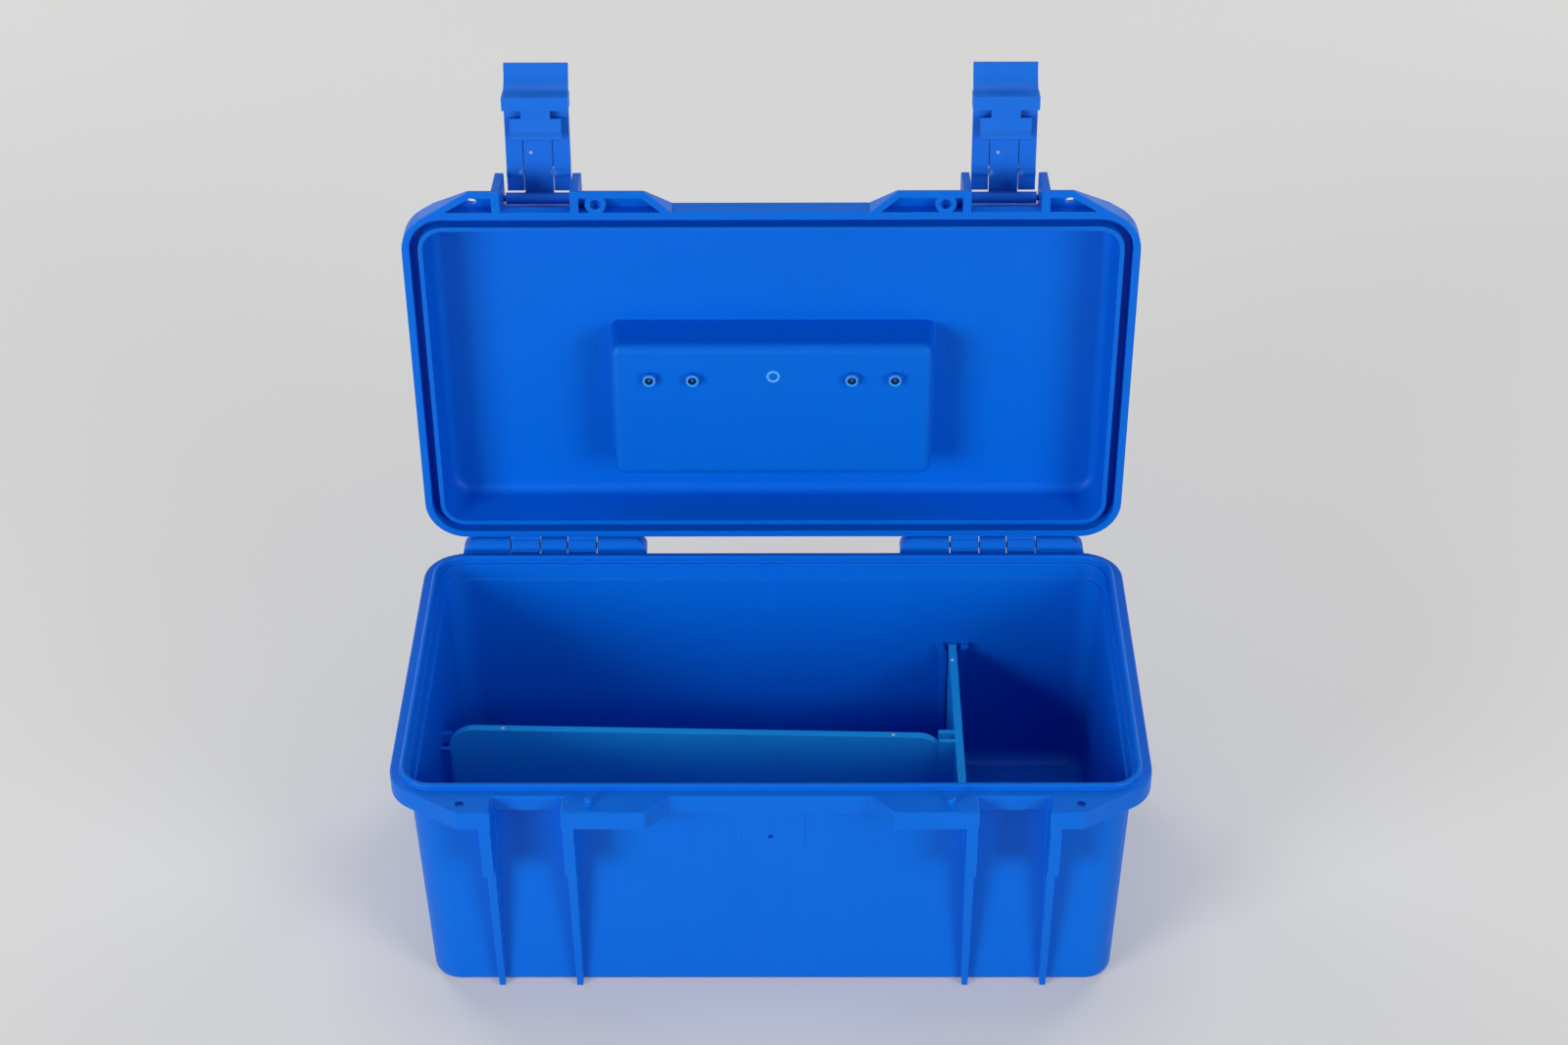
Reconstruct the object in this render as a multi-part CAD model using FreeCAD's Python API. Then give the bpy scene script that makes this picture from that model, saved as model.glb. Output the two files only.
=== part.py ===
import FreeCAD, Part
import math
import os

# Plastic tool case: a deep base, a shallow lid on two pinned hinges, two over-centre latches
# and a folding handle in a recess of the lid.
# Millimetres. +X right, -Y front, +Z up; the origin is the middle of the base's underside.
# "Inset" is a distance inwards from the rim's outer edge, "reach" one forwards from its front edge,
# and "rise" a height above the parting plane, which is the top of the base's rim.
# The lid and what it carries are modelled closed, then turned open about the hinge.

V = FreeCAD.Vector
X_AXIS = V(1, 0, 0)
Z_AXIS = V(0, 0, 1)

# Whole case
WIDTH = 380.0
DEPTH = 202.5
BASE_HEIGHT = 139.0
LID_HEIGHT = 31.5
RIM_CORNER = 22.0
BODY_CORNER = 14.5
OPEN_ANGLE = 90.65
PARTING_GAP = 0.3

# Base walls
WALL = 2.9
FLOOR = 3.0
BASE_INSET = 9.1
BASE_TAPER = 3.3
FOOT_ROUND = 5.0
FLOOR_ROUND = 8.0

# Base rim: hollow skirt, top plate, tongue, and two steps down to the wall inside
SKIRT_HEIGHT = 10.5
SKIRT_WALL = 2.5
RIM_PLATE = 2.8
RIM_ROUND = 0.8
TONGUE_INSET = 4.9
TONGUE_WIDTH = 3.0
TONGUE_HEIGHT = 3.0
TONGUE_ROUND = 1.2
LEDGE_DROP = 0.8
LEDGE_WIDTH = 1.7
BAND_DEPTH = 9.7
BAND_TAPER = 1.3
SHOULDER_WALL = 2.8
SHOULDER_DEPTH = 11.0

# Latch pads on both rims; "side" is a distance along X from the latch's middle
LATCH_END = 70.0
PAD_REACH = 12.0
PAD_CORNER = 2.5
PAD_FOOT_SIDE = 70.5
BASE_PAD_SIDE = 58.7
PAD_TURN_SIDE = 34.0
PAD_SIDE_INSET = 10.3
NOTCH_WIDTH = 35.0
NOTCH_SKIRT = 7.9
CATCH_PLATE = 2.5
CATCH_RELIEF = 8.4
BEAD_WIDTH = 11.5
BEAD_DEPTH = 1.5
BEAD_DROP = 0.6

# Peg and padlock hole in each pair of pads
PAD_MIDDLE = 4.7
PEG_SIDE = 30.9
PEG_RADIUS = 2.3
PEG_HEIGHT = 3.3
PEG_CLEARANCE = 0.55
PEG_SOCKET_WALL = 2.5
PADLOCK_SIDE = 32.5
PADLOCK_RADIUS = 2.5
PADLOCK_LID_RADIUS = 2.65

# Ribs under the latch pads
RIB_WIDTH = 5.3
RIB_DEPTH = 44.0
RIB_SLOPE = 1.2
FIN_WIDTH = 4.3
FIN_FOOT_WIDTH = 3.1
FIN_TOP_REACH = 0.4
FIN_FOOT_REACH = -9.6

# Raised panel on the front of the base
PANEL_WIDTH = 33.4
PANEL_DEPTH = 48.0
PANEL_RELIEF = 0.5
PANEL_CORNER = 10.0
PANEL_HOLE_RADIUS = 1.45
PANEL_HOLE_DEPTH = 34.5

# Hinges: five knuckles on each of two pins
HINGE_END = 69.15
HINGE_BACK = 5.8
HINGE_RISE = 1.0
KNUCKLE_RADIUS = 5.0
KNUCKLE_LENGTH = 14.2
LID_KNUCKLE_LENGTH = 15.25
KNUCKLE_GAP = 0.8
OUTER_LUG_LENGTH = 26.2
OUTER_LUG_ROUND = 9.0
INNER_LUG_LENGTH = 27.1
INNER_LUG_ROUND = 7.0
HINGE_PIN_RADIUS = 1.5
HINGE_PIN_LENGTH = 86.0
HINGE_RUNNING_FIT = 0.08
PIN_SEAT_FIT = 0.02
STOP_CLEARANCE = 0.1
KNUCKLE_WEB_GAP = 0.6
LIP_OVERLAP = 1.5

# Lid walls and rim
LID_RIM_HEIGHT = 11.0
LID_RIM_ROUND = 1.0
LID_LIP_ROUND = 0.6
GROOVE_OUTER_CLEARANCE = 1.0
GROOVE_INNER_CLEARANCE = 0.6
GROOVE_RISE = 8.3
LID_LIP = 2.2
LID_INSET = 8.7
LID_TAPER = 1.1
LID_CAVITY_TAPER = 1.5
LID_TOP_ROUND = 6.0
LID_CEILING_ROUND = 5.0
LID_TOP = 2.5

# Lid pads: sloped roofs over open pockets, with an ear at each side of the latch
LID_PAD_FOOT_SIDE = 69.5
LID_PAD_SIDE = 55.8
PAD_FRONT_RISE = 1.8
PAD_WALL = 3.6
PAD_ROOF = 2.5
EAR_GAP = 36.0
EAR_WALL = 4.1
EAR_RISE = 28.5
EAR_TOP_REACH = 9.2
EAR_ROUND = 4.0
LID_NOTCH_INSET = 2.2
LID_NOTCH_RISE = 5.9

# Latch: link on a pin through the ears, lever on the link's trunnions
LATCH_PIN_RADIUS = 1.5
LATCH_PIN_RISE = 24.0
LATCH_PIN_INSET = 4.4
LATCH_SWING = 97.0
LATCH_RUNNING_FIT = 0.1
BARREL_RADIUS = 3.06
BARREL_LENGTH = 34.0
STRIP_OFFSET = 5.4
STRIP_THICKNESS = 2.5
STRIP_WIDTH = 14.8
STRIP_END = 32.3
CRANK_HEIGHT = 4.0
TRUNNION_OFFSET = 12.0
TRUNNION_RADIUS = 1.25
TRUNNION_LENGTH = 4.5
LEVER_WIDTH = 33.0
LEVER_START = 1.9
SKIN_START = 14.5
SKIN_CLEARANCE = 0.3
SKIN_THICKNESS = 2.1
STEP_START = 47.6
STEP_LENGTH = 7.1
STEP_FACE = -0.5
STEP_WIDTH = 34.1
GRIP_END = 67.8
GRIP_REACH = 14.3
GRIP_THICKNESS = 2.5
GRIP_BEND = 40.0
GRIP_ROUND = 0.8
SCOOP_REACH = 11.5
SCOOP_DROP = 56.2
SCOOP_ROUND = 11.0
PANEL_STEP = 0.4
PANEL_ROUND = 2.0
LEVER_HUB_WALL = 1.4
TRUNNION_END_GAP = 0.3
TRUNNION_FIT = 0.1
STRIP_SIDE_GAP = 0.4
TONGUE_BAR_WIDTH = 26.0
TONGUE_NECK_WIDTH = 15.0
TONGUE_BAR_END = 43.0
TONGUE_TOP = 32.1
TONGUE_PLATE = 2.5
TONGUE_FACE = 3.2
TONGUE_LEAN = 3.0
TONGUE_BEAD_LENGTH = 4.2
TONGUE_BEAD_DEPTH = 1.5
TONGUE_BEAD_ROUND = 1.2
TONGUE_ROOT = 1.0

# Handle recess, bosses, handle and its brackets
RECESS_LENGTH = 170.0
RECESS_WIDTH = 81.0
RECESS_MIDDLE_Y = 21.85
RECESS_CORNER = 5.0
RECESS_TAPER = 2.2
RECESS_RISE = 3.8
RECESS_WALL = 2.5
BOSS_PAIR_X = 53.75
BOSS_SPACING = 22.9
BOSS_RADIUS = 3.65
BOSS_HEIGHT = 3.0
SCREW_RADIUS = 1.45
SCREW_FIT = 0.05
SCREW_HEAD_RADIUS = 3.2
SCREW_HEAD_HEIGHT = 2.2
SCREW_TIP = 0.6
HANDLE_PIVOT_HEIGHT = 9.0
HANDLE_ARM = 45.0
HANDLE_ARM_WIDTH = 7.4
HANDLE_THICKNESS = 11.0
HANDLE_GRIP_WIDTH = 18.0
HANDLE_CORNER = 12.0
HANDLE_INNER_CORNER = 8.0
HANDLE_EDGE_ROUND = 3.0
HANDLE_TRUNNION_RADIUS = 3.0
HANDLE_FIT = 0.1
HANDLE_SIDE_GAP = 0.4
BRACKET_CHEEK = 3.6
BRACKET_RADIUS = 6.0
BRACKET_FOOT = 3.0
BRACKET_FOOT_WIDTH = 12.0
BRACKET_FOOT_END = 5.0
BRACKET_FOOT_ROUND = 3.0
BRACKET_BRIDGE = 2.0
SADDLE_WIDTH = 5.0

# Dividers and their guides
DIVIDER_THICKNESS = 4.35
DIVIDER_DROP = 51.7
DIVIDER_Y = 6.7
DIVIDER_TILT = 1.32
DIVIDER_CORNER = 15.0
DIVIDER_END_GAP = 1.4
CROSS_X = 99.4
CROSS_THICKNESS = 4.3
CROSS_DROP = 52.0
CROSS_END_GAP = 1.0
SLOT_WIDTH = 4.6
SLOT_LIP = 2.7
SLOT_DEPTH = 8.6
SLOT_END_GAP = 4.85
GUIDE_WIDTH = 3.5
GUIDE_DEPTH = 6.0
GUIDE_SLOT = 6.0
GUIDE_FLARE = 2.5
GUIDE_FLARE_HEIGHT = 4.0
SIDE_GUIDE_DROP = 54.7
SIDE_GUIDE_DEPTH = 6.0
SIDE_GUIDE_SLOT = 5.0
SIDE_GUIDE_WIDTH = 2.7

# Places that several pieces share
LATCH_X = WIDTH / 2 - LATCH_END
HINGE_X = WIDTH / 2 - HINGE_END
PAD_FOOT_X = LATCH_X - PAD_FOOT_SIDE
BASE_PAD_X = LATCH_X - BASE_PAD_SIDE
PAD_TURN_X = LATCH_X + PAD_TURN_SIDE
LID_PAD_FOOT_X = LATCH_X - LID_PAD_FOOT_SIDE
LID_PAD_X = LATCH_X - LID_PAD_SIDE
PEG_X = LATCH_X - PEG_SIDE
PADLOCK_X = LATCH_X + PADLOCK_SIDE
RIM_Z = BASE_HEIGHT
FRONT_Y = -DEPTH / 2
HINGE_Y = DEPTH / 2 + HINGE_BACK
HINGE_Z = RIM_Z + HINGE_RISE
HINGE = V(0, HINGE_Y, HINGE_Z)
LID_Z = RIM_Z + PARTING_GAP
LEDGE_INSET = TONGUE_INSET + TONGUE_WIDTH
BAND_INSET = LEDGE_INSET + LEDGE_WIDTH
SHOULDER_INSET = BAND_INSET - SHOULDER_WALL
PIN_Y = FRONT_Y + LATCH_PIN_INSET
PIN_Z = RIM_Z + LATCH_PIN_RISE
LATCH_PIN = V(0, PIN_Y, PIN_Z)
RECESS_FLOOR_Z = RIM_Z + RECESS_RISE + RECESS_WALL
HANDLE_Z = RECESS_FLOOR_Z + HANDLE_PIVOT_HEIGHT
HANDLE_SLOT = HANDLE_ARM_WIDTH + 2 * HANDLE_SIDE_GAP
BORE_MARGIN = 1.0


def plan(z):
    """Place sketch points (x, y) at height z."""
    return lambda a, b: V(a, b, z)


def side(x):
    """Place sketch points (y, z) in the side view at x."""
    return lambda a, b: V(x, a, b)


def front(y):
    """Place sketch points (x, z) in the front view at y."""
    return lambda a, b: V(a, y, b)


def outline(corners, place):
    """Closed wire through (a, b) or (a, b, radius) corners, rounded where a radius is given."""
    ends = []
    for i, corner in enumerate(corners):
        here = V(corner[0], corner[1], 0)
        radius = corner[2] if len(corner) > 2 else 0.0
        before = (V(corners[i - 1][0], corners[i - 1][1], 0) - here).normalize()
        after = corners[(i + 1) % len(corners)]
        after = (V(after[0], after[1], 0) - here).normalize()
        half = before.getAngle(after) / 2
        reach = radius / math.tan(half)
        bulge = radius / math.sin(half) - radius
        middle = here + (before + after).normalize() * bulge if radius else here
        ends.append((here + before * reach, middle, here + after * reach))
    points = [[place(p.x, p.y) for p in end] for end in ends]
    edges = []
    for i, (start, middle, stop) in enumerate(points):
        if (start - stop).Length > 1e-6:
            edges.append(Part.Arc(start, middle, stop).toShape())
        following = points[(i + 1) % len(points)][0]
        if (following - stop).Length > 1e-6:
            edges.append(Part.makeLine(stop, following))
    return Part.Wire(edges)


def prism(corners, place, travel):
    """Solid made by moving an outline along a vector."""
    return Part.Face(outline(corners, place)).extrude(travel)


def box(x0, x1, y0, y1, z0, z1):
    """Box between two opposite corners."""
    low = V(min(x0, x1), min(y0, y1), min(z0, z1))
    return Part.makeBox(abs(x1 - x0), abs(y1 - y0), abs(z1 - z0), low)


def rod(radius, x0, x1, y, z):
    """Cylinder along X."""
    return Part.makeCylinder(radius, x1 - x0, V(x0, y, z), X_AXIS)


def post(radius, x, y, z0, z1):
    """Cylinder along Z."""
    return Part.makeCylinder(radius, z1 - z0, V(x, y, z0), Z_AXIS)


def rounded_rectangle(half_x, half_y, corner, z, middle_y=0.0):
    """Wire of a rectangle with round corners."""
    corners = [(half_x, middle_y - half_y, corner), (half_x, middle_y + half_y, corner),
               (-half_x, middle_y + half_y, corner), (-half_x, middle_y - half_y, corner)]
    return outline(corners, plan(z))


def plan_wire(inset, corner, z):
    """The case's plan at an inset from the rim's outer edge."""
    return rounded_rectangle(WIDTH / 2 - inset, DEPTH / 2 - inset, corner, z)


def block(inset, z0, z1):
    """Upright block on the case's plan, with corners concentric to the rim's."""
    face = Part.Face(plan_wire(inset, RIM_CORNER - inset, z0))
    return face.extrude(V(0, 0, z1 - z0))


def taper(low, high):
    """Block that tapers between two plans, each (inset, corner, z)."""
    return Part.makeLoft([plan_wire(*low), plan_wire(*high)], True, True)


def round_level(shape, z, radius):
    """Round every edge that lies at height z."""
    edges = [e for e in shape.Edges if all(abs(v.Z - z) < 1e-4 for v in e.Vertexes)]
    return shape.makeFillet(radius, edges)


def both_sides(shapes):
    """The shapes with their mirror images across the case's middle."""
    return shapes + [s.mirror(V(0, 0, 0), X_AXIS) for s in shapes]


def moved(shape, x):
    """Copy of a shape moved along X."""
    shape = shape.copy()
    shape.translate(V(x, 0, 0))
    return shape


def single(shape):
    """One clean solid from the result of a cut or fuse."""
    shape = shape.removeSplitter()
    return shape.Solids[0] if len(shape.Solids) == 1 else shape


def slant_x(x_full, x_meet, reach_meet, reach):
    """X of a pad's slanted edge at a reach, from the full pad to where the edge meets the case."""
    return x_full + (x_meet - x_full) * (PAD_REACH - reach) / (PAD_REACH - reach_meet)


def pad_corners(foot_x, full_x, notch_width, back):
    """Plan corners of the two latch pads on the right, from a back edge at the given reach."""
    tip = FRONT_Y - PAD_REACH
    rear = FRONT_Y - back
    near = LATCH_X - notch_width / 2
    far = LATCH_X + notch_width / 2
    inner = [(slant_x(full_x, foot_x, 0.0, back), rear), (full_x, tip, PAD_CORNER),
             (near, tip), (near, rear)]
    outer = [(far, rear), (far, tip), (PAD_TURN_X, tip, PAD_CORNER),
             (slant_x(PAD_TURN_X, WIDTH / 2, -PAD_SIDE_INSET, back), rear)]
    return inner, outer


def rim_face(foot_x, full_x, notch_width, z):
    """Plan of a rim with its latch pads."""
    inner, outer = pad_corners(foot_x, full_x, notch_width, 0.0)
    right = inner + outer[:-1] + [(WIDTH / 2, FRONT_Y + PAD_SIDE_INSET, RIM_CORNER),
                                  (WIDTH / 2, DEPTH / 2, RIM_CORNER)]
    left = [(-c[0],) + tuple(c[1:]) for c in reversed(right)]
    return Part.Face(outline(right + left, plan(z)))


def base_rim():
    """Hollow skirt with its top plate, latch pads, and the catch plate in each notch."""
    face = rim_face(PAD_FOOT_X, BASE_PAD_X, NOTCH_WIDTH, RIM_Z)
    skirt = round_level(face.extrude(V(0, 0, -SKIRT_HEIGHT)), RIM_Z, RIM_ROUND)
    hollow = face.makeOffset2D(-SKIRT_WALL, 2)
    hollow.translate(V(0, 0, -RIM_PLATE))
    rim = skirt.cut(hollow.extrude(V(0, 0, -SKIRT_HEIGHT)))
    x0 = LATCH_X - NOTCH_WIDTH / 2
    x1 = LATCH_X + NOTCH_WIDTH / 2
    lower = RIM_Z - NOTCH_SKIRT
    notch = box(x0, x1, FRONT_Y, FRONT_Y + SKIRT_WALL, RIM_Z - SKIRT_HEIGHT, lower)
    rim = rim.cut(Part.makeCompound(both_sides([notch])))
    catch = box(x0, x1, FRONT_Y + SKIRT_WALL, FRONT_Y + SHOULDER_INSET, lower, lower + CATCH_PLATE)
    bead = box(LATCH_X - BEAD_WIDTH / 2, LATCH_X + BEAD_WIDTH / 2, FRONT_Y, FRONT_Y + BEAD_DEPTH,
               lower - BEAD_DROP, lower)
    return rim.multiFuse(both_sides([catch, bead]))


def base_ribs():
    """On the right: thick ribs beside the notch and the thin fins that carry on to the floor."""
    ribs = []
    wall_y = FRONT_Y + BASE_INSET + BASE_TAPER + WALL / 2
    rib_foot = RIM_Z - RIB_DEPTH
    front_y = FRONT_Y - PAD_REACH
    rib_side = [(wall_y, RIM_Z - RIM_PLATE), (front_y, RIM_Z - RIM_PLATE),
                (front_y + RIB_SLOPE, rib_foot, 1.0), (wall_y, rib_foot)]
    fin_side = [(wall_y, rib_foot), (FRONT_Y - FIN_TOP_REACH, rib_foot),
                (FRONT_Y - FIN_FOOT_REACH, 0.0), (wall_y, 0.0)]
    for outward, inner_face in ((1, LATCH_X + NOTCH_WIDTH / 2), (-1, LATCH_X - NOTCH_WIDTH / 2)):
        edge = inner_face + outward * 0.4
        ribs.append(prism(rib_side, side(edge), V(outward * RIB_WIDTH, 0, 0)))
        fin_edge = edge + (0.6 if outward > 0 else 0.0)
        thick = Part.Face(outline(fin_side, side(fin_edge))).extrude(V(outward * FIN_WIDTH, 0, 0))
        slim_x = fin_edge + (FIN_WIDTH if outward > 0 else 0.0)
        narrowing = FIN_WIDTH - FIN_FOOT_WIDTH
        keep = [(slim_x, 0.0), (slim_x, rib_foot), (slim_x - FIN_WIDTH, rib_foot),
                (slim_x - FIN_WIDTH + narrowing, 0.0)]
        ribs.append(thick.common(prism(keep, front(front_y - 5), V(0, 40, 0))))
    return ribs


def base_lugs():
    """On the right: the outer lug, middle knuckle and inner lug of the hinge, behind the rim."""
    half = KNUCKLE_LENGTH / 2
    lug_start = half + LID_KNUCKLE_LENGTH + 2 * KNUCKLE_GAP
    top = HINGE_Z + KNUCKLE_RADIUS
    foot = RIM_Z - SKIRT_HEIGHT
    skirt_back = DEPTH / 2 - SKIRT_WALL / 2
    section = [(skirt_back, foot), (skirt_back, RIM_Z - RIM_ROUND), (HINGE_Y, HINGE_Z),
               (HINGE_Y + KNUCKLE_RADIUS, HINGE_Z),
               (HINGE_Y + KNUCKLE_RADIUS, HINGE_Z - KNUCKLE_RADIUS / 2)]
    spans = [(HINGE_X - half, HINGE_X + half, 0.0),
             (HINGE_X + lug_start, HINGE_X + lug_start + OUTER_LUG_LENGTH, OUTER_LUG_ROUND),
             (HINGE_X - lug_start, HINGE_X - lug_start - INNER_LUG_LENGTH, INNER_LUG_ROUND)]
    lugs = []
    for near, far, end_round in spans:
        low = min(near, far)
        length = abs(far - near)
        body = rod(KNUCKLE_RADIUS, low, low + length, HINGE_Y, HINGE_Z)
        body = body.fuse(prism(section, side(low), V(length, 0, 0)))
        if end_round:
            shape = [(near, top), (far, top, end_round), (far, foot), (near, foot)]
            body = body.common(prism(shape, front(DEPTH / 2 - 5), V(0, 30, 0)))
        lugs.append(body)
    return lugs


def hinge_bores(radius, outer_margin):
    """Bores along both hinge pins; the outer end runs out through the lug."""
    x0 = HINGE_X - HINGE_PIN_LENGTH / 2 - BORE_MARGIN
    x1 = HINGE_X + HINGE_PIN_LENGTH / 2 + outer_margin
    return Part.makeCompound(both_sides([rod(radius, x0, x1, HINGE_Y, HINGE_Z)]))


def guide(width, opening, top, place, travel):
    """Pair of upright guide ribs beside a slot, flared apart at the top; sketched about its middle."""
    bend = top - GUIDE_FLARE_HEIGHT
    pair = []
    for s in (1, -1):
        near = s * opening / 2
        far = near + s * width
        flare = s * GUIDE_FLARE
        pair.append(prism([(near, FLOOR / 2), (near, bend), (near + flare, top), (far + flare, top),
                           (far, bend), (far, FLOOR / 2)], place, travel))
    return pair


def base_guides():
    """Guides for the cross divider on the front and rear walls, and for the long one on the left wall."""
    wall_y = DEPTH / 2 - BASE_INSET - WALL
    wall_x = WIDTH / 2 - BASE_INSET - WALL
    guides = []
    for s in (1, -1):
        start = s * (wall_y - GUIDE_DEPTH)
        guides += guide(GUIDE_WIDTH, GUIDE_SLOT, RIM_Z - CROSS_DROP,
                        lambda a, b: V(CROSS_X + a, start, b), V(0, s * (GUIDE_DEPTH + WALL), 0))
    left = -wall_x + SIDE_GUIDE_DEPTH
    guides += guide(SIDE_GUIDE_WIDTH, SIDE_GUIDE_SLOT, RIM_Z - SIDE_GUIDE_DROP,
                    lambda a, b: V(left, DIVIDER_Y + a, b), V(-SIDE_GUIDE_DEPTH - WALL, 0, 0))
    return guides


def base_shell():
    """Deep open base: tapered walls, stepped rim, latch pads and ribs, hinge lugs, divider guides."""
    shoulder_z = RIM_Z - SHOULDER_DEPTH
    body = taper((BASE_INSET + BASE_TAPER, BODY_CORNER, 0.0), (BASE_INSET, BODY_CORNER, shoulder_z))
    body = round_level(body, 0.0, FOOT_ROUND)
    shoulder = block(SHOULDER_INSET, shoulder_z, RIM_Z - RIM_PLATE / 2)
    relief_y = FRONT_Y + CATCH_RELIEF
    relief = box(LATCH_X - NOTCH_WIDTH / 2, LATCH_X + NOTCH_WIDTH / 2, FRONT_Y, relief_y,
                 shoulder_z - 1.0, RIM_Z - NOTCH_SKIRT)
    shoulder = shoulder.cut(Part.makeCompound(both_sides([relief])))
    tongue = block(TONGUE_INSET, RIM_Z - RIM_PLATE / 2, RIM_Z + TONGUE_HEIGHT)
    pad_y = FRONT_Y - PAD_MIDDLE
    peg = round_level(post(PEG_RADIUS, PEG_X, pad_y, RIM_Z - 1.0, RIM_Z + PEG_HEIGHT),
                      RIM_Z + PEG_HEIGHT, 1.2)
    panel_top = RIM_Z - SHOULDER_DEPTH
    panel = prism([(-PANEL_WIDTH / 2, panel_top), (PANEL_WIDTH / 2, panel_top),
                   (PANEL_WIDTH / 2, RIM_Z - PANEL_DEPTH, PANEL_CORNER),
                   (-PANEL_WIDTH / 2, RIM_Z - PANEL_DEPTH, PANEL_CORNER)],
                  front(FRONT_Y + BASE_INSET + BASE_TAPER), V(0, -BASE_TAPER - PANEL_RELIEF, 0))
    raised = taper((BASE_INSET + BASE_TAPER - PANEL_RELIEF, BODY_CORNER, 0.0),
                   (BASE_INSET - PANEL_RELIEF, BODY_CORNER, shoulder_z))
    panel = panel.common(raised)
    shell = body.multiFuse([shoulder, tongue, base_rim(), panel]
                           + both_sides(base_ribs() + base_lugs() + [peg]))
    inner = BASE_INSET + WALL
    band_z = RIM_Z - BAND_DEPTH
    hollow = taper((inner + BASE_TAPER, BODY_CORNER - WALL, FLOOR), (inner, BODY_CORNER - WALL, band_z))
    hollow = round_level(hollow, FLOOR, FLOOR_ROUND)
    band = taper((BAND_INSET + BAND_TAPER, RIM_CORNER - BAND_INSET - BAND_TAPER, band_z),
                 (BAND_INSET, RIM_CORNER - BAND_INSET, RIM_Z - LEDGE_DROP))
    ledge = block(LEDGE_INSET, RIM_Z - LEDGE_DROP, RIM_Z + TONGUE_HEIGHT + 1.0)
    padlock = post(PADLOCK_RADIUS, PADLOCK_X, pad_y, RIM_Z - SKIRT_HEIGHT, RIM_Z + 1.0)
    panel_hole = Part.makeCylinder(PANEL_HOLE_RADIUS, WALL, V(0, FRONT_Y + BASE_INSET - 1.0,
                                   RIM_Z - PANEL_HOLE_DEPTH), V(0, 1, 0))
    shell = shell.cut(Part.makeCompound([hollow, band, ledge, panel_hole] + both_sides([padlock])))
    shell = shell.cut(hinge_bores(HINGE_PIN_RADIUS + PIN_SEAT_FIT, OUTER_LUG_LENGTH))
    shell = round_level(shell, RIM_Z + TONGUE_HEIGHT, TONGUE_ROUND)
    clip = taper((BASE_INSET + BASE_TAPER + WALL / 2, BODY_CORNER, FLOOR / 2),
                 (BASE_INSET + WALL / 2, BODY_CORNER, shoulder_z))
    guides = [g.common(clip) for g in base_guides()]
    return single(shell.multiFuse(guides))


def pad_wedge(lowered):
    """Space under the sloped roof of the lid's pads, lowered by a thickness."""
    slope = math.atan2(LID_RIM_HEIGHT - PAD_FRONT_RISE, PAD_REACH)
    drop = lowered / math.cos(slope)
    back = DEPTH + PAD_REACH
    rise = (LID_RIM_HEIGHT - PAD_FRONT_RISE) / PAD_REACH
    high = RIM_Z + LID_RIM_HEIGHT - drop
    corners = [(FRONT_Y + back, RIM_Z - 5.0), (FRONT_Y + back, high), (FRONT_Y, high),
               (FRONT_Y - PAD_REACH - 5.0, high - rise * (PAD_REACH + 5.0)),
               (FRONT_Y - PAD_REACH - 5.0, RIM_Z - 5.0)]
    return prism(corners, side(-WIDTH / 2), V(WIDTH, 0, 0))


def lid_pads():
    """The lid's rim plan, and the pockets and peg sockets of its pads."""
    rim = rim_face(LID_PAD_FOOT_X, LID_PAD_X, EAR_GAP, LID_Z)
    rim = rim.extrude(V(0, 0, LID_RIM_HEIGHT - PARTING_GAP)).common(pad_wedge(0.0))
    pockets = []
    between_pockets = EAR_GAP + 2 * (EAR_WALL - PAD_WALL)
    for corners in pad_corners(LID_PAD_FOOT_X, LID_PAD_X, between_pockets, -PAD_WALL):
        face = Part.Face(outline(corners, plan(RIM_Z - 1.0))).makeOffset2D(-PAD_WALL, 2)
        pockets.append(face.extrude(V(0, 0, LID_RIM_HEIGHT)).common(pad_wedge(PAD_ROOF)))
    pad_y = FRONT_Y - PAD_MIDDLE
    bore = PEG_RADIUS + PEG_CLEARANCE
    ring = post(bore + PEG_SOCKET_WALL, PEG_X, pad_y, LID_Z, RIM_Z + LID_RIM_HEIGHT)
    ring = ring.common(pad_wedge(PAD_ROOF / 2))
    socket = post(bore, PEG_X, pad_y, LID_Z - 1.0, LID_Z + PEG_HEIGHT + PEG_CLEARANCE)
    hole = post(PADLOCK_LID_RADIUS, PADLOCK_X, pad_y, LID_Z - 1.0, RIM_Z + LID_RIM_HEIGHT + 1.0)
    return rim, pockets, ring, [socket, hole]


def lid_ears():
    """On the right: the two plates that carry the latch's pin."""
    root = FRONT_Y + LID_INSET + LID_TAPER + 1.0
    corners = [(root, LID_Z), (FRONT_Y - PAD_REACH, LID_Z),
               (FRONT_Y - EAR_TOP_REACH, RIM_Z + EAR_RISE, EAR_ROUND), (root, RIM_Z + EAR_RISE)]
    inner = prism(corners, side(LATCH_X - EAR_GAP / 2), V(-EAR_WALL, 0, 0))
    outer = prism(corners, side(LATCH_X + EAR_GAP / 2), V(EAR_WALL, 0, 0))
    bore = rod(LATCH_PIN_RADIUS + PIN_SEAT_FIT, LATCH_X - EAR_GAP, LATCH_X + EAR_GAP, PIN_Y, PIN_Z)
    return [inner.cut(bore), outer.cut(bore)]


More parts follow.
